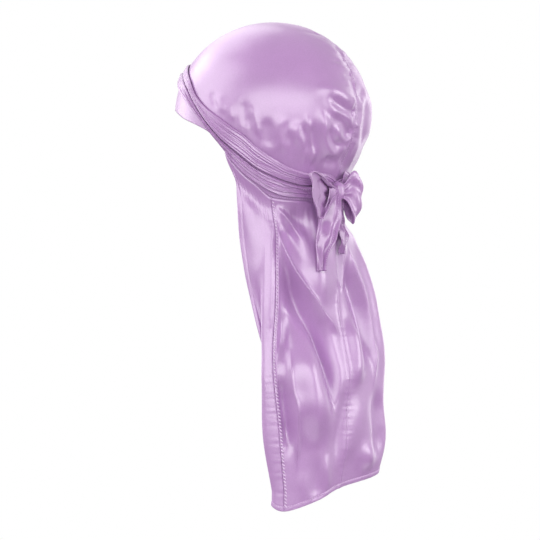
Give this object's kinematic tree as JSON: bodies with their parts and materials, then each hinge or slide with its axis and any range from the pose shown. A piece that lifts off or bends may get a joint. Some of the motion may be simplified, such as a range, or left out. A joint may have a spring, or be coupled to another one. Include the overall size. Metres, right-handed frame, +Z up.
{
  "type": "durag",
  "caption": "Satin durag shaped as worn: smooth crown with a centre seam, ties wrapped and tied in a bow at the back, and a long draped tail.",
  "frame": {"origin": "inside of the crown at its top, where it sits on the head", "axes": "+Z up; the wearer faces -Y; the wearer's left is +X"},
  "size_m": [0.1612, 0.1914, 0.449],
  "materials": {
    "satin": "glossy lilac satin",
    "satin_ties": "glossy lilac satin, gathered",
    "thread": "lilac sewing thread"
  },
  "bodies": {
    "root": {"crown_panel_left": "satin", "crown_panel_right": "satin", "tie_wrap_left": "satin_ties", "tie_wrap_right": "satin_ties", "tail_panel_left": "satin", "tail_panel_right": "satin", "tail_gore_left": "satin", "tail_gore_right": "satin", "bow_knot": "satin_ties", "bow_loop_left": "satin_ties", "bow_loop_right": "satin_ties", "tie_end_left": "satin_ties", "tie_end_right": "satin_ties"}
  },
  "joints": []
}
